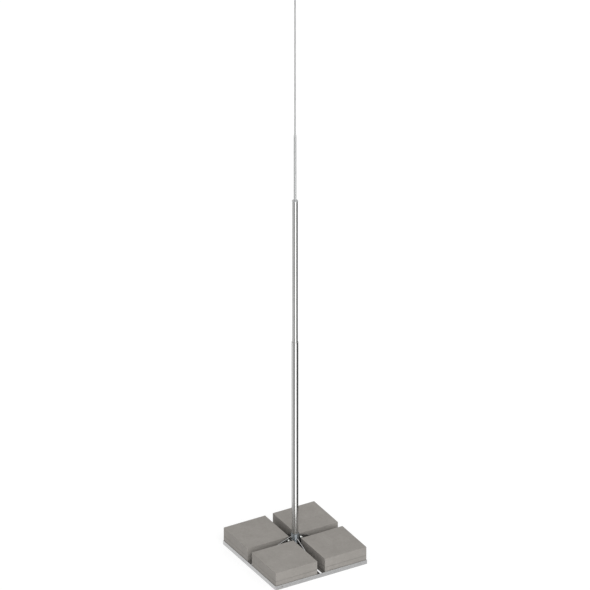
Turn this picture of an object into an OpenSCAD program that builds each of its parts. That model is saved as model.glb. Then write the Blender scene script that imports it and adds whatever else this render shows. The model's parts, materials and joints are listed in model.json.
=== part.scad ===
// Free-standing lightning rod mast: a square steel angle frame weighted with
// two layers of concrete blocks, a welded cross with a gusseted socket, two
// mast tubes that fit one inside the other, and a stepped air rod.
// Millimetres. +Z is up, +X and +Y run along the frame's sides, and the origin
// is on the ground at the centre of the frame.

/* [Overall] */
// Height of the rod's tip above the ground
mast_h = 4000; // [2800:10:6000]

/* [Base frame] */
// Outside length of each side of the square frame
frame_side = 660; // [500:10:900]
// Leg of the equal angle that the frame is made of
angle_leg = 30; // [20:1:50]
// Thickness of the angle
angle_t = 2; // [1.5:0.5:4]
// Inside radius of the angle's bend
angle_bend_r = 1; // [0.5:0.5:4]
// Width of the flat bars that cross the frame
bar_w = 25; // [16:1:40]
// Thickness of the cross bars
bar_t = 5; // [3:1:8]
// Diameter of the earthing hole in the front and the back of the frame
earth_hole_d = 11; // [7:0.5:13]
// Distance of each earthing hole from the nearer corner of the frame
earth_hole_inset = 47; // [30:1:120]

/* [Ballast blocks] */
// Height of each concrete block; they lie in two layers
block_h = 61; // [40:1:100]
// Width of the two channels between the blocks
block_gap = 55; // [45:1:120]
// Play between the blocks and the frame
block_play = 0.5; // [0.5:0.5:5]
// Chamfer along the blocks' edges
block_chamfer = 1; // [0.5:0.5:8]

/* [Mast foot] */
// Wall of the socket that the mast stands in
socket_t = 3.6; // [2.5:0.1:8]
// Height of the socket's rim above the tops of the blocks
socket_rise = 32; // [24:1:60]
// Thickness of the four gusset plates
gusset_t = 4; // [3:0.5:10]
// Depth of the side gussets' tops below the socket's rim
gusset_drop = 17; // [5:1:30]
// Height of a side gusset's outer end
gusset_toe_h = 42; // [15:1:60]
// Distance from the gussets' outer ends to the inside of the frame
gusset_end_gap = 58; // [5:1:150]
// How much lower the front and back gussets are than the side ones
gusset_step = 12; // [0:1:14]
// Thread of the two bolts that clamp earthing conductors to the side gussets
clamp_bolt_d = 10; // [8:1:12]
// Length of the clamp bolts under the head
clamp_bolt_l = 20; // [18:1:24]
// Distance of the clamp bolts from the socket's wall
clamp_bolt_off = 20; // [16:1:90]
// Depth of the clamp bolts below the side gussets' tops
clamp_bolt_drop = 30; // [28:1:60]

/* [Mast tubes] */
// Outside diameter of the lower tube
lower_tube_d = 42; // [35:0.5:60]
// Length of the lower tube
lower_tube_l = 1532; // [1000:1:2500]
// Wall of both tubes
tube_t = 3; // [2:0.25:4]
// Length of the upper tube that shows above the lower one
upper_tube_show = 1010; // [600:5:2000]
// Length of the upper tube inside the lower one
upper_tube_overlap = 200; // [100:5:400]

/* [Air rod] */
// Diameter of the rod's lower part
rod_d = 16; // [12:0.5:20]
// Length of the lower part that shows above the cap
rod_show = 472; // [200:1:1000]
// Diameter of the rod's thin upper part
tip_d = 10; // [8:0.5:12]
// Diameter of the rod's turned end, which stands inside its cap
rod_spigot_d = 12; // [8:0.5:14]
// Depth of the turned end inside the cap
rod_depth = 60; // [30:1:100]

/* [Hidden] */
$fn = 64;
weld_gap = 0.1;       // between pieces that are welded together
slide_gap = 0.5;      // all round between a tube and what it slides in
socket_gap = 0.4;     // all round between the lower tube and the socket
plug_gap = 0.2;       // all round between the rod, its cap and the upper tube
toe_r = angle_t / 2;
frame_half = frame_side / 2;
leg_inside = frame_half - angle_t;
earth_hole_z = 0.6 * angle_leg;

block_side = (2 * (leg_inside - block_play) - block_gap) / 2;
block_at = (block_gap + block_side) / 2;
block_top = angle_t + 2 * block_h;
block_foot_cut = max(block_chamfer, angle_bend_r);     // clears the bend

bar_top = angle_t + bar_t;
bar_reach = leg_inside - angle_bend_r;
lower_r = lower_tube_d / 2;
socket_bore_r = lower_r + socket_gap;
socket_r = socket_bore_r + socket_t;
socket_top = block_top + socket_rise;
gusset_top = socket_top - gusset_drop;
gusset_snip = 12;     // corner left open for the zinc to run off
gusset_reach = leg_inside - gusset_end_gap;

clamp_bolt_at = socket_r + clamp_bolt_off;
clamp_bolt_z = gusset_top - clamp_bolt_drop;
bolt_hole_d = 1.05 * clamp_bolt_d;
thread_play = 0.2;
bolt_point = 0.12 * clamp_bolt_d;
bolt_flange_d = 2.1 * clamp_bolt_d;
bolt_flange_t = 0.16 * clamp_bolt_d;
hex_h = 0.84 * clamp_bolt_d;
hex_af = 1.6 * clamp_bolt_d;

lower_top = bar_top + lower_tube_l;
upper_r = lower_r - tube_t - slide_gap;
upper_top = lower_top + upper_tube_show;
upper_bore_r = upper_r - tube_t;
cap_flange_t = 4;
cap_flange_r = upper_r + 2;
cap_r = upper_bore_r - plug_gap;
cap_floor = 8;
cap_top = upper_top + cap_flange_t;
rod_shoulder = cap_top + rod_show;
rod_taper = 8;
edge = 0.5;           // broken edge on turned and sawn ends

zinc = [0.70, 0.72, 0.73];
concrete = [0.58, 0.57, 0.55];
steel = [0.80, 0.80, 0.80];
aluminium = [0.76, 0.76, 0.76];

// One leg of the angle, standing up from the bend, with a round toe.
module leg_profile() {
    bend_out = angle_bend_r + angle_t;
    translate([0, bend_out]) square([angle_t, angle_leg - bend_out - toe_r]);
    translate([toe_r, angle_leg - toe_r]) circle(toe_r);
}

// The angle's section, bent from flat strip, with its outside corner at the origin.
module angle_profile() {
    bend_out = angle_bend_r + angle_t;
    leg_profile();
    mirror([1, -1]) leg_profile();
    intersection() {
        square(bend_out);
        translate([bend_out, bend_out])
            difference() {
                circle(bend_out);
                circle(angle_bend_r);
            }
    }
}

// One side of the frame, lying along the front (-Y) and mitred at both ends.
module frame_side_plain() {
    intersection() {
        translate([-frame_half, -frame_half, 0])
            rotate([90, 0, 90])
                linear_extrude(frame_side) angle_profile();
        linear_extrude(angle_leg)
            polygon([
                [-frame_half, -frame_half],
                [frame_half, -frame_half],
                [frame_half - angle_leg, angle_leg - frame_half],
                [angle_leg - frame_half, angle_leg - frame_half]
            ]);
    }
}

module frame_side_drilled() {
    difference() {
        frame_side_plain();
        translate([earth_hole_inset - frame_half, angle_t + 1 - frame_half, earth_hole_z])
            rotate([90, 0, 0])
                cylinder(d = earth_hole_d, h = angle_t + 2);
    }
}

module frame_angle_front() {
    color(zinc) frame_side_drilled();
}

module frame_angle_right() {
    color(zinc) rotate(90) frame_side_plain();
}

module frame_angle_back() {
    color(zinc) rotate(180) frame_side_drilled();
}

module frame_angle_left() {
    color(zinc) rotate(270) frame_side_plain();
}

// The long bar runs right across. The two short ones are welded to its sides.
module cross_bar_long() {
    color(zinc)
        translate([-bar_reach, -bar_w / 2, angle_t])
            cube([2 * bar_reach, bar_w, bar_t]);
}

module cross_bar_short() {
    translate([-bar_w / 2, -bar_reach, angle_t])
        cube([bar_w, bar_reach - bar_w / 2 - weld_gap, bar_t]);
}

module cross_bar_front() {
    color(zinc) cross_bar_short();
}

module cross_bar_back() {
    color(zinc) rotate(180) cross_bar_short();
}

// A length of tube with its ends broken inside and out.
module tube(r_out, r_in, z_low, z_high) {
    rotate_extrude()
        polygon([
            [r_in + edge, z_low],
            [r_out - edge, z_low],
            [r_out, z_low + edge],
            [r_out, z_high - edge],
            [r_out - edge, z_high],
            [r_in + edge, z_high],
            [r_in, z_high - edge],
            [r_in, z_low + edge]
        ]);
}

module mast_socket() {
    color(zinc) tube(socket_r, socket_bore_r, bar_top, socket_top);
}

// A plate from the cross bar up to the socket, along +X. A lower one has the
// same slope.
module gusset(lower) {
    inner = socket_r + weld_gap;
    rotate([90, 0, 0])
        translate([0, 0, -gusset_t / 2])
            linear_extrude(gusset_t)
                polygon([
                    [inner + gusset_snip, bar_top],
                    [gusset_reach, bar_top],
                    [gusset_reach, bar_top + gusset_toe_h - lower],
                    [inner + gusset_t, gusset_top - lower],
                    [inner, gusset_top - lower],
                    [inner, bar_top + gusset_snip]
                ]);
}

module gusset_drilled() {
    difference() {
        gusset(0);
        translate([clamp_bolt_at, gusset_t, clamp_bolt_z])
            rotate([90, 0, 0])
                cylinder(d = bolt_hole_d, h = 2 * gusset_t);
    }
}

module gusset_front() {
    color(zinc) rotate(-90) gusset(gusset_step);
}

module gusset_right() {
    color(zinc) gusset_drilled();
}

module gusset_back() {
    color(zinc) rotate(90) gusset(gusset_step);
}

module gusset_left() {
    color(zinc) rotate(180) gusset_drilled();
}

// A hexagon with a washer flange under it, from z 0 up. The hexagon's far
// corners are turned off.
module flanged_hexagon() {
    corner_r = hex_af / 2 / cos(30);
    turned_r = hex_af / 2 - 0.3;
    turned_h = (corner_r - turned_r) * tan(30);
    cylinder(d = bolt_flange_d, h = bolt_flange_t);
    translate([0, 0, bolt_flange_t])
        intersection() {
            cylinder(r = corner_r, h = hex_h, $fn = 6);
            rotate_extrude()
                polygon([
                    [0, 0],
                    [corner_r, 0],
                    [corner_r, hex_h - turned_h],
                    [turned_r, hex_h],
                    [0, hex_h]
                ]);
        }
}

// Puts what is drawn along +Z on a side gusset's front face, pointing forward.
module on_gusset_front(side_x) {
    translate([side_x * clamp_bolt_at, -gusset_t / 2, clamp_bolt_z])
        rotate([90, 0, 0])
            children();
}

module on_gusset_back(side_x) {
    translate([side_x * clamp_bolt_at, gusset_t / 2, clamp_bolt_z])
        rotate([-90, 0, 0])
            children();
}

module clamp_nut(side_x) {
    on_gusset_back(side_x)
        difference() {
            flanged_hexagon();
            translate([0, 0, -1])
                cylinder(d = clamp_bolt_d + thread_play, h = 2 * clamp_bolt_d);
        }
}

module clamp_bolt(side_x) {
    on_gusset_front(side_x) {
        flanged_hexagon();
        translate([0, 0, bolt_point - clamp_bolt_l])
            cylinder(d = clamp_bolt_d, h = clamp_bolt_l - bolt_point);
        translate([0, 0, -clamp_bolt_l])
            cylinder(d1 = clamp_bolt_d - 2 * bolt_point, d2 = clamp_bolt_d, h = bolt_point);
    }
}

module clamp_nut_left() {
    color(zinc) clamp_nut(-1);
}

module clamp_nut_right() {
    color(zinc) clamp_nut(1);
}

module clamp_bolt_left() {
    color(zinc) clamp_bolt(-1);
}

module clamp_bolt_right() {
    color(zinc) clamp_bolt(1);
}

// A square plan with its four corners cut off.
module cut_square(s, c) {
    polygon([
        [c - s / 2, -s / 2], [s / 2 - c, -s / 2],
        [s / 2, c - s / 2], [s / 2, s / 2 - c],
        [s / 2 - c, s / 2], [c - s / 2, s / 2],
        [-s / 2, s / 2 - c], [-s / 2, c - s / 2]
    ]);
}

// The side view of a block, with cuts c at the top corners and f at the foot.
module block_profile(s, h, c, f) {
    polygon([
        [f - s / 2, 0], [s / 2 - f, 0],
        [s / 2, f], [s / 2, h - c],
        [s / 2 - c, h], [c - s / 2, h],
        [-s / 2, h - c], [-s / 2, f]
    ]);
}

module standing_profile() {
    linear_extrude(block_side, center = true)
        block_profile(block_side, block_h, block_chamfer, block_foot_cut);
}

// One block of a quarter of the frame, in layer 0 or on top of it in layer 1.
module ballast_block(side_x, side_y, layer) {
    translate([side_x * block_at, side_y * block_at, angle_t + layer * block_h])
        intersection() {
            linear_extrude(block_h) cut_square(block_side, block_chamfer);
            rotate([90, 0, 0]) standing_profile();
            rotate([90, 0, 90]) standing_profile();
        }
}

module ballast_block_front_left() {
    color(concrete) ballast_block(-1, -1, 0);
}

module ballast_block_front_right() {
    color(concrete) ballast_block(1, -1, 0);
}

module ballast_block_back_right() {
    color(concrete) ballast_block(1, 1, 0);
}

module ballast_block_back_left() {
    color(concrete) ballast_block(-1, 1, 0);
}

module top_block_front_left() {
    color(concrete) ballast_block(-1, -1, 1);
}

module top_block_front_right() {
    color(concrete) ballast_block(1, -1, 1);
}

module top_block_back_right() {
    color(concrete) ballast_block(1, 1, 1);
}

module top_block_back_left() {
    color(concrete) ballast_block(-1, 1, 1);
}

module lower_tube() {
    color(steel) tube(lower_r, lower_r - tube_t, bar_top, lower_top);
}

module upper_tube() {
    color(steel) tube(upper_r, upper_bore_r, lower_top - upper_tube_overlap, upper_top);
}

// A turned plug that closes the upper tube and holds the rod in a blind bore.
module rod_cap() {
    bore_r = rod_spigot_d / 2 + plug_gap;
    bore_low = cap_top - rod_depth;
    color(aluminium)
        rotate_extrude()
            polygon([
                [0, bore_low - cap_floor],
                [cap_r - edge, bore_low - cap_floor],
                [cap_r, bore_low - cap_floor + edge],
                [cap_r, upper_top],
                [cap_flange_r, upper_top],
                [cap_flange_r, cap_top - edge],
                [cap_flange_r - edge, cap_top],
                [bore_r + edge, cap_top],
                [bore_r, cap_top - edge],
                [bore_r, bore_low],
                [0, bore_low]
            ]);
}

// The rod is one piece: its turned end stands in the cap, its shoulder sits on
// the cap's rim, and it is drawn down to the thin diameter over a short taper.
module air_rod() {
    low = cap_top - rod_depth;
    spigot_r = rod_spigot_d / 2;
    tip_r = tip_d / 2;
    color(aluminium) {
        rotate_extrude()
            polygon([
                [0, low],
                [spigot_r - edge, low],
                [spigot_r, low + edge],
                [spigot_r, cap_top],
                [rod_d / 2 - edge, cap_top],
                [rod_d / 2, cap_top + edge],
                [rod_d / 2, rod_shoulder - rod_taper],
                [tip_r, rod_shoulder],
                [tip_r, mast_h - tip_r],
                [0, mast_h - tip_r]
            ]);
        translate([0, 0, mast_h - tip_r]) sphere(tip_r);
    }
}

frame_angle_front();
frame_angle_right();
frame_angle_back();
frame_angle_left();
cross_bar_long();
cross_bar_front();
cross_bar_back();
mast_socket();
gusset_front();
gusset_right();
gusset_back();
gusset_left();
clamp_nut_left();
clamp_nut_right();
clamp_bolt_left();
clamp_bolt_right();
ballast_block_front_left();
ballast_block_front_right();
ballast_block_back_right();
ballast_block_back_left();
top_block_front_left();
top_block_front_right();
top_block_back_right();
top_block_back_left();
lower_tube();
upper_tube();
rod_cap();
air_rod();
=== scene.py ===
"""A free-standing lightning rod mast: finishes, cast and welded detail, floor, light and camera.

Lengths are metres in the part's own frame: +Z up, origin on the ground under the mast.
"""
import json
import math
import random

import bpy
from mathutils import Matrix, Vector, noise


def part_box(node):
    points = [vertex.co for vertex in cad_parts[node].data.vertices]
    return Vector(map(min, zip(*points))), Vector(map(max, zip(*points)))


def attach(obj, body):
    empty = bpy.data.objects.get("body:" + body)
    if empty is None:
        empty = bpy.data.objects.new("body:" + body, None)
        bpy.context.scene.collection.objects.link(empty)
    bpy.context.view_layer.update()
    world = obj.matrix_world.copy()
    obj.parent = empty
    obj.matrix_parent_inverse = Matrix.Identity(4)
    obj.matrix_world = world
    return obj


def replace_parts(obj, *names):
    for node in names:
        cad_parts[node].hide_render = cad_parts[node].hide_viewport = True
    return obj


MM = 0.001

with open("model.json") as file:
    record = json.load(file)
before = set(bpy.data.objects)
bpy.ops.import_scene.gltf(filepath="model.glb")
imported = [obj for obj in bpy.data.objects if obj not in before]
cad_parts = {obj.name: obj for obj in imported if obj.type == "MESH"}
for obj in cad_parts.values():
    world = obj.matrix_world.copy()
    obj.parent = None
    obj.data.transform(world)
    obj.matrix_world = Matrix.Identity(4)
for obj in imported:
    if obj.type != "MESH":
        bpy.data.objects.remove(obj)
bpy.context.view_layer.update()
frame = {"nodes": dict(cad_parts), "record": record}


# ---------------------------------------------------------------- finishes

def linear(hex_colour):
    """An sRGB hex colour as the linear RGBA that shaders take."""
    levels = [int(hex_colour[i:i + 2], 16) / 255 for i in (1, 3, 5)]
    return tuple(c / 12.92 if c <= 0.04045 else ((c + 0.055) / 1.055) ** 2.4 for c in levels) + (1.0,)


def add_node(tree, kind, inputs=None, **settings):
    """Adds one shader node: its settings, then a value or an output for each named input."""
    made = tree.nodes.new("ShaderNode" + kind)
    for name, value in settings.items():
        setattr(made, name, value)
    for socket, value in (inputs or {}).items():
        if isinstance(value, bpy.types.NodeSocket):
            tree.links.new(value, made.inputs[socket])
        else:
            made.inputs[socket].default_value = value
    return made


def cloudy(tree, point, size_mm, detail):
    """Noise with patches of about the given size."""
    return add_node(tree, "TexNoise", {"Vector": point, "Scale": 1 / (size_mm * MM), "Detail": detail})


def cellular(tree, point, size_mm):
    """Cells of about the given size, each with a colour of its own."""
    return add_node(tree, "TexVoronoi", {"Vector": point, "Scale": 1 / (size_mm * MM)})


def arithmetic(tree, operation, *values):
    """One step of arithmetic on values or outputs."""
    return add_node(tree, "Math", dict(enumerate(values)), operation=operation).outputs[0]


def moved(tree, value, old_range, new_range):
    """A value taken from one range to another, and held inside the new one."""
    return add_node(tree, "MapRange", {"Value": value, "From Min": old_range[0], "From Max": old_range[1],
                                       "To Min": new_range[0], "To Max": new_range[1]}).outputs[0]


def blended(tree, amount, first, second):
    """A colour between two others."""
    return add_node(tree, "Mix", {0: amount, 6: first, 7: second}, data_type="RGBA").outputs[2]


def scaled(tree, vector, factor):
    """A vector, or a colour, times a number."""
    return add_node(tree, "VectorMath", {0: vector, "Scale": factor}, operation="SCALE").outputs[0]


def relief(tree, height, strength, depth_mm):
    """The normal of a surface with a fine relief."""
    return add_node(tree, "Bump", {"Height": height, "Strength": strength,
                                   "Distance": depth_mm * MM}).outputs[0]


def new_material(name):
    """An empty node material, with its tree and the point in metres."""
    made = bpy.data.materials.new(name)
    made.use_nodes = True
    made.node_tree.nodes.clear()
    point = add_node(made.node_tree, "TexCoord").outputs["Object"]
    return made, made.node_tree, point


def skin(tree, colour, rough, normal, others=None):
    """Ends a material with its one surface shader."""
    made = add_node(tree, "BsdfPrincipled", {"Base Color": colour, "Roughness": rough, "Normal": normal})
    for socket, value in (others or {}).items():
        made.inputs[socket].default_value = value
    add_node(tree, "OutputMaterial", {"Surface": made.outputs[0]})
    return made


def precast_concrete():
    """Grey concrete vibrated in a steel mould: a tight cement skin with cloudy patches, sand
    that shows as fine speckle, and the pinholes that trapped air leaves."""
    made, tree, point = new_material("precast_concrete")
    cloud = cloudy(tree, point, 90, 4.0).outputs["Fac"]
    blotches = cloudy(tree, point, 18, 5.0).outputs["Fac"]
    sand = cloudy(tree, point, 2.2, 3.0).outputs["Fac"]
    shade = blended(tree, cloud, linear("#8E8A85"), linear("#A29E99"))
    mottled = scaled(tree, shade, moved(tree, blotches, (0.3, 0.7), (0.95, 1.04)))
    speckled = scaled(tree, mottled, moved(tree, sand, (0.3, 0.7), (0.93, 1.06)))
    # Pinholes 1 to 2 mm wide, in about one cell in five of a 14 mm spacing, each painted darker as painted
    # shade inside the hole.
    cells = cellular(tree, point, 14)
    near = moved(tree, cells.outputs["Distance"], (0.05, 0.09), (1.0, 0.0))
    chosen = arithmetic(tree, "GREATER_THAN", cells.outputs["Color"], 0.62)
    pinhole = arithmetic(tree, "MULTIPLY", near, chosen)
    colour = blended(tree, pinhole, speckled, linear("#5A5751"))
    # Painted shade: a dark line along the joint of the two layers, and a wider one where the rim of the frame
    # meets the wall. Both stand for the shade in those gaps, made patchy by a noise.
    height = add_node(tree, "SeparateXYZ", {0: point}).outputs[2]
    patchy = moved(tree, blotches, (0.35, 0.65), (0.7, 1.3))
    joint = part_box("top_block_front_left")[0][2]
    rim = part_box("frame_angle_front")[1][2]
    for level, width, painted_shade_depth in ((joint, 5 * MM, 0.16), (rim, 9 * MM, 0.24)):
        away = arithmetic(tree, "ABSOLUTE", arithmetic(tree, "SUBTRACT", height, level))
        band = moved(tree, away, (0.2 * width, width), (painted_shade_depth, 0.0))
        amount = arithmetic(tree, "MULTIPLY", band, patchy)
        colour = blended(tree, amount, colour, linear("#2E2B28"))
    grain = arithmetic(tree, "SUBTRACT", sand, pinhole)
    skin(tree, colour, moved(tree, blotches, (0.0, 1.0), (0.78, 0.95)), relief(tree, grain, 0.35, 0.6),
         {"IOR": 1.5, "Specular IOR Level": 0.3})
    return made


def hot_dip_zinc(name, darkest, lightest, roughness):
    """Galvanised steel: zinc crystals a few millimetres across, each a slightly different grey,
    under a thin dull skin."""
    made, tree, point = new_material(name)
    shift = scaled(tree, cloudy(tree, point, 12, 2.0).outputs["Color"], 6 * MM)
    warped = add_node(tree, "VectorMath", {0: point, 1: shift}, operation="ADD").outputs[0]
    crystal = add_node(tree, "SeparateColor", {0: cellular(tree, warped, 7).outputs["Color"]})
    patch = cloudy(tree, point, 60, 3.0).outputs["Fac"]
    mixed = add_node(tree, "Mix", {0: 0.4, 2: crystal.outputs[0], 3: patch}, data_type="FLOAT")
    colour = blended(tree, mixed.outputs[0], linear(darkest), linear(lightest))
    ripple = cloudy(tree, point, 5, 2.0).outputs["Fac"]
    skin(tree, colour, moved(tree, crystal.outputs[1], (0.0, 1.0), roughness),
         relief(tree, ripple, 0.2, 0.4), {"Metallic": 1.0})
    return made


def lined_metal(name, darkest, lightest, roughness, line_mm, depth, across=0.0):
    """Bare metal with fine lines in it. Drawn metal has its lines along its length. A tube that
    was polished as it turned has them round it, which smears what it mirrors up and down: across
    says how much."""
    made, tree, point = new_material(name)
    squeeze = (0.02, 0.02, 1.0) if across else (1.0, 1.0, 0.01)
    stretch = add_node(tree, "Mapping", {"Vector": point, "Scale": squeeze}).outputs[0]
    lines = cloudy(tree, stretch, line_mm, 4.0).outputs["Fac"]
    smear = cloudy(tree, point, 120, 3.0).outputs["Fac"]
    colour = blended(tree, smear, linear(darkest), linear(lightest))
    lined = scaled(tree, colour, moved(tree, lines, (0.3, 0.7), (1.05, 0.95)))
    surface = skin(tree, lined, moved(tree, lines, (0.3, 0.7), roughness), relief(tree, lines, depth, 0.1),
                   {"Metallic": 1.0})
    if across:
        surface.inputs["Anisotropic"].default_value = across
        surface.inputs["Anisotropic Rotation"].default_value = 0.25
        round_axis = add_node(tree, "Tangent", direction_type="RADIAL", axis="Z")
        tree.links.new(round_axis.outputs[0], surface.inputs["Tangent"])
    return made


def cured_sealant(name, darkest, lightest):
    """An even dull skin with faint marks of the finger that smoothed it."""
    made, tree, point = new_material(name)
    marks = cloudy(tree, point, 4, 3.0).outputs["Fac"]
    skin(tree, blended(tree, marks, linear(darkest), linear(lightest)), 0.55, relief(tree, marks, 0.3, 0.4))
    return made


concrete = precast_concrete()
zinc = hot_dip_zinc("hot_dip_zinc", "#B2B2B2", "#C6C6C6", (0.2, 0.3))
bolt_zinc = hot_dip_zinc("plated_bolt", "#B8B9B6", "#C8C9C6", (0.16, 0.26))
screw_steel = lined_metal("screw_steel", "#B4B4B3", "#BEBEBD", (0.22, 0.3), 0.8, 0.05)
weld_zinc = hot_dip_zinc("zinc_over_weld", "#9E9E9E", "#B9B9B9", (0.25, 0.4))
# Stainless tube polished on a belt as it turned.
stainless = lined_metal("polished_stainless", "#BFBFBE", "#C7C7C6", (0.15, 0.22), 1.2, 0.04, 0.85)
# The socket is a ring cut from tube of that kind, zinc coated and wiped smooth.
socket_zinc = lined_metal("wiped_zinc", "#A6ADB2", "#AFB6BB", (0.32, 0.38), 1.2, 0.02, 0.95)
# Drawn aluminium rod, much duller than the tubes.
aluminium = lined_metal("drawn_aluminium", "#B9BABA", "#C4C5C5", (0.34, 0.48), 1.0, 0.25)
sealant = cured_sealant("grey_sealant", "#4C5052", "#5C6062")

FINISH = {"concrete": concrete, "galvanised_steel": zinc, "mast_steel": stainless, "rod_aluminium": aluminium}
slot_of = {s["node"]: s["material_slot"] for s in frame["record"]["subparts"]}
for name, part in frame["nodes"].items():
    part.data.materials.clear()
    part.data.materials.append(socket_zinc if name == "mast_socket" else FINISH[slot_of[name]])


# ---------------------------------------------------------------- modelled detail

def add_piece(name, points, faces, material, sharp_from=40):
    """One detail piece from points in metres and faces, shaded smooth up to the given angle."""
    data = bpy.data.meshes.new(name)
    data.from_pydata([tuple(p) for p in points], [], faces)
    data.materials.append(material)
    data.shade_smooth()
    data.set_sharp_from_angle(angle=math.radians(sharp_from))
    piece = bpy.data.objects.new(name, data)
    bpy.context.collection.objects.link(piece)
    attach(piece, "root")
    return piece


def edge_lines(length, step):
    """Places along an edge from end to end: very close together at both ends, then evenly."""
    close = [c * MM for c in (0, 0.2, 0.45, 0.8, 1.3, 2.0, 3.0, 4.5, 6.5)]
    middle = length - 2 * close[-1]
    count = max(2, round(middle / step))
    inner = [close[-1] + middle * i / count for i in range(1, count)]
    return close + inner + [length - c for c in reversed(close)]


def cast_slab(node, seed):
    """A concrete slab as it comes out of a steel mould: flat to a fraction of a millimetre, with
    edges that are sharp in places and rubbed or chipped in others."""
    low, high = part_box(node)
    chance = random.Random(seed)
    shrink = [chance.uniform(0.15, 0.3) * MM for _ in range(5)]
    low = Vector(low) + Vector((shrink[0], shrink[1], 0))
    high = Vector(high) - Vector(shrink[2:])
    half = (high - low) / 2
    centre = (high + low) / 2
    lines = [edge_lines(2 * half[0], 4.2 * MM), edge_lines(2 * half[1], 4.2 * MM),
             edge_lines(2 * half[2], 5 * MM)]
    far = [len(line) - 1 for line in lines]
    drift = Vector((seed * 3.1, seed * 1.7, seed * 2.3))
    number, points = {}, []

    def worn(raw):
        """Where a point of the sharp box lies on the worn slab."""
        # An edge is rubbed to a radius that changes slowly along it, and chipped here and there.
        rub = noise.noise(raw / (35 * MM) + drift)
        chip = noise.noise(raw / (9 * MM) - drift) + 0.5 * noise.noise(raw / (4 * MM) + 2 * drift)
        radius = (0.75 + 0.35 * rub) * MM + 4.5 * MM * max(0.0, chip - 0.62)
        core = Vector(max(-(h - radius), min(h - radius, v)) for v, h in zip(raw, half))
        out = raw - core
        if out.length > 1e-9:
            raw = core + out.normalized() * radius
        # Faint waves and grain draw the faces in by up to 0.16 mm.
        wave = 0.5 + 0.5 * noise.noise(raw / (70 * MM) - drift)
        grain = 0.5 + 0.5 * noise.noise(raw / (6 * MM) + drift)
        return raw * (1 - (0.12 * wave + 0.04 * grain) * MM / (150 * MM))

    def corner(i, j, k):
        """The number of a grid point, which is made the first time it is asked for."""
        if (i, j, k) not in number:
            number[i, j, k] = len(points)
            raw = Vector((lines[0][i], lines[1][j], lines[2][k])) - half
            points.append(centre + worn(raw))
        return number[i, j, k]

    faces = []
    for axis in range(3):
        u, v = (axis + 1) % 3, (axis + 2) % 3
        for end in (0, far[axis]):
            for m in range(far[u]):
                for n in range(far[v]):
                    ring = []
                    for du, dv in ((0, 0), (1, 0), (1, 1), (0, 1)):
                        index = [0, 0, 0]
                        index[axis], index[u], index[v] = end, m + du, n + dv
                        ring.append(corner(*index))
                    faces.append(ring if end else ring[::-1])
    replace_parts(add_piece("cast_" + node, points, faces, concrete), node)


def swept(points, faces, rings, closed=True):
    """Joins rings of equal length into a skin. Closed fills in its two ends."""
    first, size = len(points), len(rings[0])
    for ring in rings:
        points.extend(ring)
    for r in range(len(rings) - 1):
        for i in range(size):
            j = (i + 1) % size
            a, b = first + r * size, first + (r + 1) * size
            faces.append([a + i, a + j, b + j, b + i])
    if closed:
        last = first + (len(rings) - 1) * size
        faces.append([first + i for i in reversed(range(size))])
        faces.append([last + i for i in range(size)])


def fillet_weld(points, faces, line, leg, seed):
    """A weld bead in the corner of two faces. The line gives, for each place along the corner,
    the point and the two directions that lie in the faces away from it."""
    steps = 8               # from one leg of the bead's section to the other
    run, rings, last = 0.0, [], None
    total = sum((b[0] - a[0]).length for a, b in zip(line, line[1:]))
    for spot, along_a, along_b in line:
        run += (spot - last).length if last is not None else 0.0
        last = spot
        outward = (along_a + along_b).normalized()
        # The bead swells from nothing over its first and last 2 mm.
        end = min(1.0, (min(run, total - run) + 0.6 * MM) / (2.2 * MM)) ** 0.5
        sway = noise.noise(Vector((run / (11 * MM), seed, 0.3)))
        size = leg * end * (1 + 0.09 * sway)
        # The section starts behind the corner, and its two toes lie just under the faces.
        ring = [spot - (along_a + along_b) * 0.4 * MM]
        for i in range(steps + 1):
            t = i / steps
            arc = math.sin(math.pi * t)
            # Curved ripples 1.9 mm apart.
            ripple = abs(math.sin(math.pi * (run / (1.9 * MM) + 0.5 * arc + 0.15 * sway + seed)))
            swell = (0.06 + 0.15 * arc) * size + 0.34 * MM * ripple * arc * end
            if i in (0, steps):
                swell *= -0.3
            ring.append(spot + (along_a * (1 - t) + along_b * t) * size + outward * swell)
        rings.append(ring)
    runs_outward = (line[1][0] - line[0][0]).dot(line[0][1].cross(line[0][2])) > 0
    swept(points, faces, rings if runs_outward else [ring[::-1] for ring in rings])


def straight(start, stop, along_a, along_b):
    """The line of a straight corner, in steps short enough for a bead's ripples."""
    start, stop = Vector(start) * MM, Vector(stop) * MM
    count = max(8, round((stop - start).length / (0.34 * MM)))
    return [(start.lerp(stop, i / count), Vector(along_a), Vector(along_b)) for i in range(count + 1)]


def turned(line, quarter):
    """The same line a number of quarter turns round the mast."""
    turn = Matrix.Rotation(quarter * math.pi / 2, 3, "Z")
    return [(turn @ spot, turn @ a, turn @ b) for spot, a, b in line]


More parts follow.
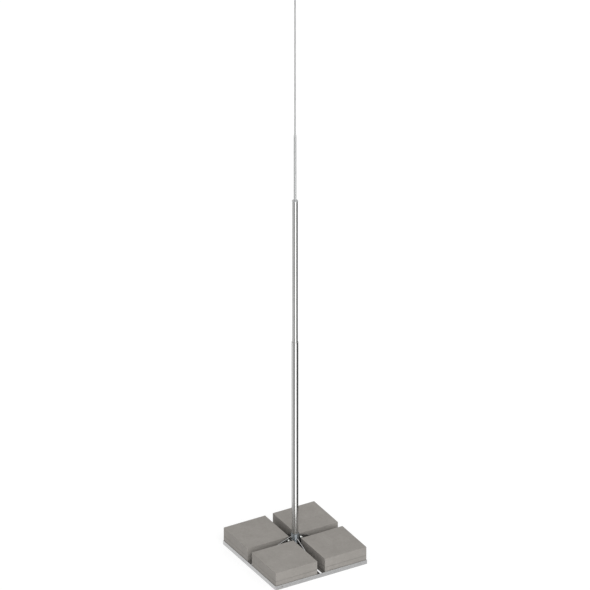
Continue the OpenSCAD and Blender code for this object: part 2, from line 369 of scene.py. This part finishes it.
def foot_welds():
    """The beads that hold the foot together, each along a real corner of the CAD pieces. They are
    laid out in millimetres on the arm along +X, and turned to the other three."""
    stitch_starts = (14, 100, 190)      # from the socket's wall
    stitch = 48
    corner_gap = 13                     # past the gusset's snipped corner
    arc_steps = 29
    bar_low, bar_high = (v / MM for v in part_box("cross_bar_long"))
    bar_end, bar_half, bar_top = bar_high
    leg_top = bar_low[2]                # the angle lies on the ground, so also its thickness
    angle_low, angle_high = (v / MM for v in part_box("frame_angle_right"))
    leg_edge = angle_low[0]
    rim_inside = angle_high[0] - leg_top
    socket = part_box("mast_socket")[1][0] / MM
    reach, plate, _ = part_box("gusset_right")[1] / MM
    up = (0, 0, 1)
    points, faces, seed = [], [], 0
    for quarter, gusset in enumerate(("gusset_right", "gusset_back", "gusset_left", "gusset_front")):
        gusset_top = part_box(gusset)[1][2] / MM
        for side in (-1, 1):
            out = (0, side, 0)
            lines = []
            # Plate to bar in three stitches.
            for start in stitch_starts:
                near = socket + start
                lines.append((straight((near, side * plate, bar_top),
                                       (min(near + stitch, reach - 1), side * plate, bar_top),
                                       out, up), 3.0))
            # Plate to socket, all the way up.
            edge_x = math.sqrt(socket ** 2 - plate ** 2)
            tilt = math.atan2(plate, edge_x)
            wall = (-math.sin(tilt), side * math.cos(tilt), 0)
            lines.append((straight((edge_x, side * plate, bar_top + corner_gap),
                                   (edge_x, side * plate, gusset_top - 1), wall, (1, 0, 0)), 2.8))
            # Socket to bar, either side of the plate.
            arc = []
            for i in range(arc_steps + 1):
                turn = side * math.radians(8.5 + 20.5 * i / arc_steps)
                away = Vector((math.cos(turn), math.sin(turn), 0))
                arc.append((away * socket * MM + Vector((0, 0, bar_top * MM)), away, Vector(up)))
            lines.append((arc, 3.0))
            # Bar to the angle's lower leg along both of its edges.
            lines.append((straight((leg_edge + 2, side * bar_half, leg_top),
                                   (bar_end - 1, side * bar_half, leg_top), out, up), 3.0))
            for line, leg in lines:
                seed += 1
                fillet_weld(points, faces, turned(line, quarter), leg * MM, seed * 0.37)
        # Bar's end to the inside of the rim.
        seed += 1
        end_line = straight((rim_inside, 1 - bar_half, bar_top), (rim_inside, bar_half - 1, bar_top),
                            (-1, 0, 0), up)
        fillet_weld(points, faces, turned(end_line, quarter), 2.6 * MM, seed * 0.37)
    add_piece("foot_weld_beads", points, faces, weld_zinc, 60)


def lathed(points, faces, profile, place, sides=72, loop=False, turn=0.0):
    """Rings up an axis. Each ring is its height, its radius and, where it is cut to a hexagon, half
    the width across the flats. Place turns a point on the axis frame, in millimetres, to metres."""
    rings = []
    for height, radius, flat in profile:
        ring = []
        for i in range(sides):
            a = 2 * math.pi * i / sides
            r = radius
            if flat:
                r = min(r, flat / math.cos((a + math.pi / 6) % (math.pi / 3) - math.pi / 6))
            ring.append(place((r * math.cos(a + turn), r * math.sin(a + turn), height)))
        rings.append(ring)
    if loop:
        rings.append(rings[0])
    swept(points, faces, rings, closed=not loop)


def threaded(points, faces, low, high, major, pitch, place, sides=48):
    """A screw thread with a blunt point at low."""
    depth, rings = 0.6 * pitch, []
    count = round((high - low) / (pitch / 8))
    for n in range(count + 1):
        z = low + (high - low) * n / count
        lead = min(1.0, (z - low) / 1.6 + 0.75)
        ring = []
        for i in range(sides):
            turn = i / sides
            cut = abs(2 * ((z / pitch - turn) % 1.0) - 1)
            r = min(major - depth * min(1.0, 1.25 * cut), major * lead)
            ring.append(place((r * math.cos(2 * math.pi * turn), r * math.sin(2 * math.pi * turn), z)))
        rings.append(ring)
    swept(points, faces, rings)


def on_axis(origin, out, side):
    """Puts points of a frame whose third axis is out, and whose first is side, at origin."""
    origin, out, side = Vector(origin), Vector(out).normalized(), Vector(side).normalized()
    other = out.cross(side)
    return lambda p: origin + (side * p[0] + other * p[1] + out * p[2]) * MM


def clamp_bolts():
    """The two M10 flange bolts and their nuts, with hexagons, washer faces and threads."""
    head = [(0, 5.2, None), (0, 9.9, None), (0.3, 10.3, None), (1.0, 10.4, None), (1.5, 9.9, None),
            (2.3, 8.95, None), (2.7, 8.9, 8.0), (3.2, 9.3, 8.0), (9.1, 9.3, 8.0), (9.6, 8.7, 8.0),
            (9.95, 7.9, 8.0), (9.95, 7.1, None), (9.6, 6.3, None), (9.55, 3.0, None)]
    # The nut has the head's outside, from the flange's foot to the top of its flats, and a bore.
    nut = head[1:11] + [(9.95, 6.2, None), (9.2, 5.15, None), (0.9, 5.15, None), (0, 5.9, None)]
    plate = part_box("gusset_right")[1][1]
    for side, tightened in (("left", 17), ("right", 41)):
        low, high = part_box("clamp_bolt_" + side)
        x, z = (low[0] + high[0]) / 2, (low[2] + high[2]) / 2
        turn = math.radians(tightened)
        points, faces = [], []
        front = on_axis((x, -plate, z), (0, -1, 0), (1, 0, 0))
        lathed(points, faces, head, front, turn=turn)
        threaded(points, faces, -20, 0, 4.95, 1.5, front)
        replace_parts(add_piece("flange_bolt_" + side, points, faces, bolt_zinc, 30),
                    "clamp_bolt_" + side)
        points, faces = [], []
        back = on_axis((x, plate, z), (0, 1, 0), (1, 0, 0))
        lathed(points, faces, nut, back, turn=2 * turn, loop=True)
        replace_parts(add_piece("flange_nut_" + side, points, faces, bolt_zinc, 30),
                    "clamp_nut_" + side)


def sealant_ring():
    """The bead that keeps water out of the socket, smoothed round by hand."""
    steps = 144
    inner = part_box("lower_tube")[1][0] / MM
    outer, rim = (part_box("mast_socket")[1][k] / MM for k in (0, 2))
    rings = []
    for n in range(steps):
        a = 2 * math.pi * n / steps
        wave = noise.noise(Vector((math.cos(a), math.sin(a), 0.4)) * 1.7)
        rise, spread = 3.2 + 0.5 * wave, 0.35 + 0.2 * wave
        section = [(inner - 0.1, rim + rise), (inner + 0.5, rim + 0.75 * rise),
                   (inner + 1.3, rim + 0.45 * rise), (outer - spread - 0.7, rim + 0.75),
                   (outer - spread, rim + 0.05), (outer - 1.2, rim - 0.6), (inner - 0.2, rim - 1.5)]
        rings.append([Vector((r * math.cos(a), r * math.sin(a), z)) * MM for r, z in section])
    points, faces = [], []
    swept(points, faces, rings + [rings[0]], closed=False)
    add_piece("socket_sealant", points, faces, sealant, 60)


def button_screw(name, tube, below_top):
    """A domed screw with a hexagon socket in it, on the back of a tube a little to the right."""
    _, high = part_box(tube)
    radius, top = high[0] / MM, high[2] / MM
    away = Vector((0.5, 0.866, 0))
    seat = away * (radius - 0.3) * MM + Vector((0, 0, (top - below_top) * MM))
    dome = [(-0.9, 4.9, None), (0.2, 5.2, None), (0.7, 5.2, None), (1.5, 4.85, None), (2.2, 4.2, None),
            (2.75, 3.3, None), (3.0, 2.5, None), (2.95, 2.35, 2.0), (1.2, 2.3, 2.0)]
    points, faces = [], []
    lathed(points, faces, dome, on_axis(seat, away, (0, 0, 1)))
    add_piece(name, points, faces, screw_steel, 35)


for seed, node in enumerate((n for n in sorted(slot_of) if slot_of[n] == "concrete"), start=1):
    cast_slab(node, seed)
foot_welds()
clamp_bolts()
sealant_ring()
button_screw("joint_screw", "lower_tube", 55)
button_screw("cap_screw", "upper_tube", 30)


# ---------------------------------------------------------------- stage, camera and light

VIEW_TURN = math.radians(30)    # the camera stands this far round from the front towards the left
VIEW_LIFT = math.radians(30)    # and this far up
VIEW_WIDTH = 3.6754             # metres across the view
AIM_HEIGHT = 1.8752             # the point on the mast's axis that it looks at
LENS = 1600.0                   # so long a lens keeps parallel lines parallel
SENSOR = 36.0
JUST_UP = 1 * MM                # keeps a card off the floor


def backdrop_white(tree, shaded, white):
    """White where the camera or a mirror-like surface looks, and the given shader for all other rays."""
    path = add_node(tree, "LightPath")
    seen = arithmetic(tree, "MAXIMUM", path.outputs["Is Camera Ray"], path.outputs["Is Glossy Ray"])
    seen = arithmetic(tree, "MAXIMUM", seen, path.outputs["Is Transmission Ray"])
    return add_node(tree, "MixShader", {0: seen, 1: shaded, 2: white}).outputs[0]


def studio_floor():
    """A matt white floor that shows as white with a faint shadow."""
    made, tree, _ = new_material("studio_floor")
    plain = add_node(tree, "BsdfDiffuse", {"Color": linear("#F4F4F4")})
    faint = add_node(tree, "BsdfDiffuse", {"Color": linear("#A0A0A0")})
    glow = add_node(tree, "Emission", {"Color": (1, 1, 1, 1), "Strength": 0.72})
    lit = add_node(tree, "AddShader", {0: faint.outputs[0], 1: glow.outputs[0]})
    add_node(tree, "OutputMaterial", {"Surface": backdrop_white(tree, plain.outputs[0], lit.outputs[0])})
    bpy.ops.mesh.primitive_plane_add(size=60)
    floor = bpy.context.object
    floor.name = "studio_floor"
    floor.data.materials.append(made)


def studio_air():
    """White all round, which gives less light than it shows."""
    world = bpy.data.worlds.new("studio_air")
    bpy.context.scene.world = world
    world.use_nodes = True
    tree = world.node_tree
    tree.nodes.clear()
    air = add_node(tree, "Background", {"Color": (1, 1, 1, 1), "Strength": 0.66})
    white = add_node(tree, "Background", {"Color": (1, 1, 1, 1), "Strength": 1.0})
    add_node(tree, "OutputWorld", {"Surface": backdrop_white(tree, air.outputs[0], white.outputs[0])})


def card(name, points, faces, hex_colour, strength=1.0):
    """A card that only mirror-like surfaces see."""
    made, tree, _ = new_material(name)
    glow = add_node(tree, "Emission", {"Color": linear(hex_colour), "Strength": strength})
    add_node(tree, "OutputMaterial", {"Surface": glow.outputs[0]})
    data = bpy.data.meshes.new(name)
    data.from_pydata(points, [], faces)
    data.materials.append(made)
    sheet = bpy.data.objects.new(name, data)
    bpy.context.collection.objects.link(sheet)
    sheet.visible_camera = False
    sheet.visible_diffuse = False
    sheet.visible_transmission = False
    sheet.visible_shadow = False


def flat_card(name, low, high, hex_colour):
    """A rectangular card on the floor between two corners."""
    (x0, y0), (x1, y1) = low, high
    card(name, [(x0, y0, JUST_UP), (x1, y0, JUST_UP), (x1, y1, JUST_UP), (x0, y1, JUST_UP)],
         [(0, 1, 2, 3)], hex_colour)


def ring_of_cards(near, far, high, tones):
    """Cards side by side in a ring round the mast, flat on the floor and then bent up. The tubes
    mirror them, which gives them their light and dark bands. Each tone is the turn in degrees
    where it ends, counted from below the camera towards its right, then its colour and strength.
    The first begins at half a turn."""
    steps = 12
    start = -180
    for number, (stop, hex_colour, strength) in enumerate(tones):
        points, faces = [], []
        for i in range(steps + 1):
            a = math.radians(start + (stop - start) * i / steps) - math.pi / 2 - VIEW_TURN
            for r, z in ((near, JUST_UP), (far, JUST_UP), (far, high)):
                points.append((r * math.cos(a), r * math.sin(a), z))
        for i in range(steps):
            for j in (0, 1):
                k = 3 * i + j
                faces.append((k, k + 1, k + 4, k + 3))
        card("card_%d" % number, points, faces, hex_colour, strength)
        start = stop


def lamp(name, strength, from_point, spread):
    """A soft far lamp that shines from the given direction."""
    data = bpy.data.lights.new(name, "SUN")
    data.energy = strength
    data.angle = math.radians(spread)
    made = bpy.data.objects.new(name, data)
    made.rotation_euler = Vector(from_point).to_track_quat("Z", "Y").to_euler()
    bpy.context.collection.objects.link(made)


def view_camera():
    data = bpy.data.cameras.new("camera")
    data.lens = LENS
    data.sensor_width = SENSOR
    back = Vector((-math.sin(VIEW_TURN) * math.cos(VIEW_LIFT),
                   -math.cos(VIEW_TURN) * math.cos(VIEW_LIFT),
                   math.sin(VIEW_LIFT)))
    distance = VIEW_WIDTH / 2 / (SENSOR / 2 / LENS)
    camera = bpy.data.objects.new("camera", data)
    camera.location = Vector((0, 0, AIM_HEIGHT)) + back * distance
    camera.rotation_euler = back.to_track_quat("Z", "Y").to_euler()
    data.clip_start = distance / 10
    data.clip_end = distance * 2
    bpy.context.collection.objects.link(camera)
    bpy.context.scene.camera = camera


bpy.context.scene.view_settings.view_transform = "Standard"
view_camera()
studio_floor()
studio_air()
lamp("key", 1.25, (-0.14, -0.81, 0.6), 50)
ring_of_cards(0.5, 8.0, 4.0, [
    (-125, "#909090", 1.0), (-80, "#FFFFFF", 1.15), (-31, "#C8C8C8", 1.0), (3, "#AAAAAA", 1.0),
    (46, "#FFFFFF", 2.3), (75, "#CACACA", 1.0), (96, "#545454", 1.0), (134, "#161616", 1.0),
    (152, "#161616", 1.0), (167, "#F0F0F0", 0.8), (180, "#606060", 1.0)])
flat_card("card_front", (-0.36, -0.43), (0.4, -0.334), "#EAEAEA")
# The frame stands close to the floor, so the floor that the foot's plates mirror is in the dark. This black
# card, seen only in reflections, is painted shade that stands for that dark floor.
flat_card("card_under", (-0.29, -0.29), (0.29, 0.29), "#101010")
